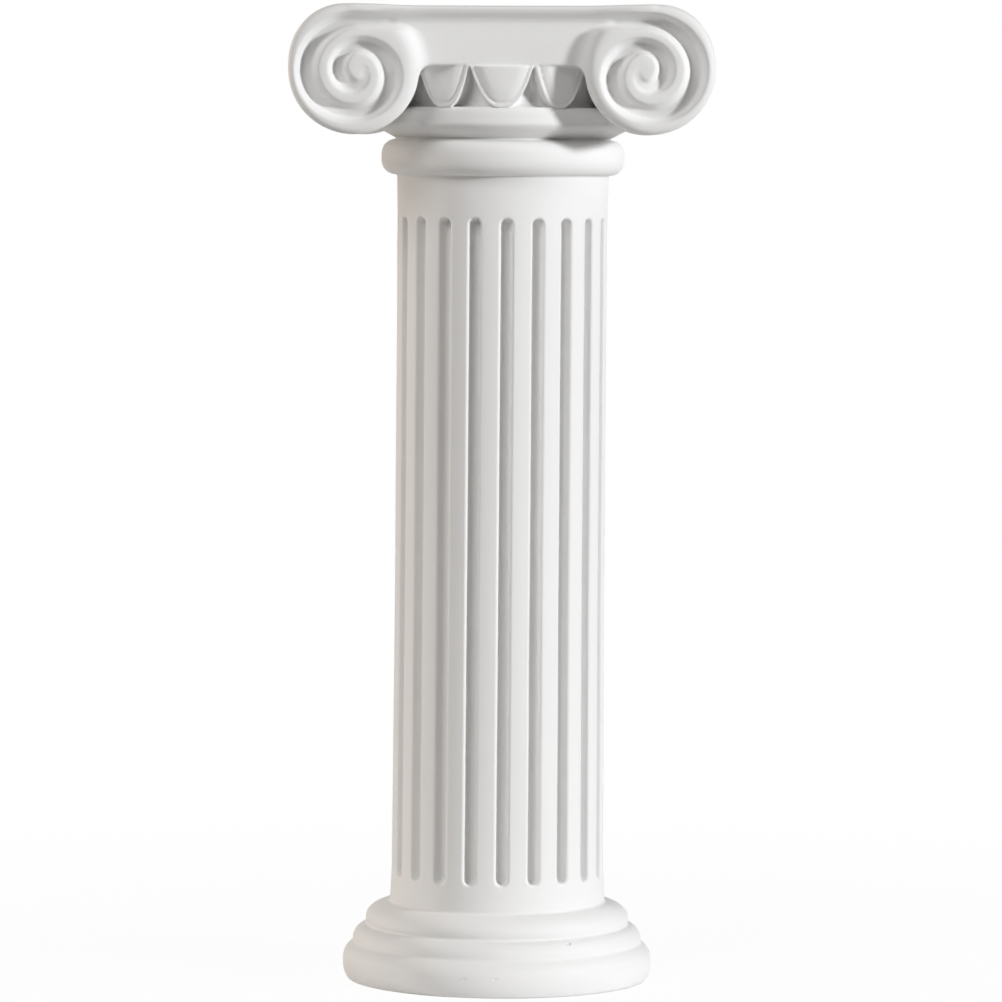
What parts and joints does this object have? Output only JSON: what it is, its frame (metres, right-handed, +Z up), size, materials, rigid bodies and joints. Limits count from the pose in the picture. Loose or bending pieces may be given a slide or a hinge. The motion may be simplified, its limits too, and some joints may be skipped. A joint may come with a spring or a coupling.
{
  "type": "ionic column ornament",
  "caption": "Small cast Ionic column for a table top: a fluted shaft on a base of stacked rolls, under a capital with spiral volutes and a row of eggs.",
  "frame": {"origin": "centre of the round underside, on the surface the column stands on", "axes": "+Z up the shaft, +X across the capital from one pair of volutes to the other, -Y towards a carved face"},
  "size_m": [0.1244, 0.0928, 0.29],
  "materials": {
    "cast_plaster": "matt cast plaster, off-white, soft rounded edges with small casting pits"
  },
  "bodies": {
    "root": {"column": "cast_plaster"}
  },
  "joints": []
}
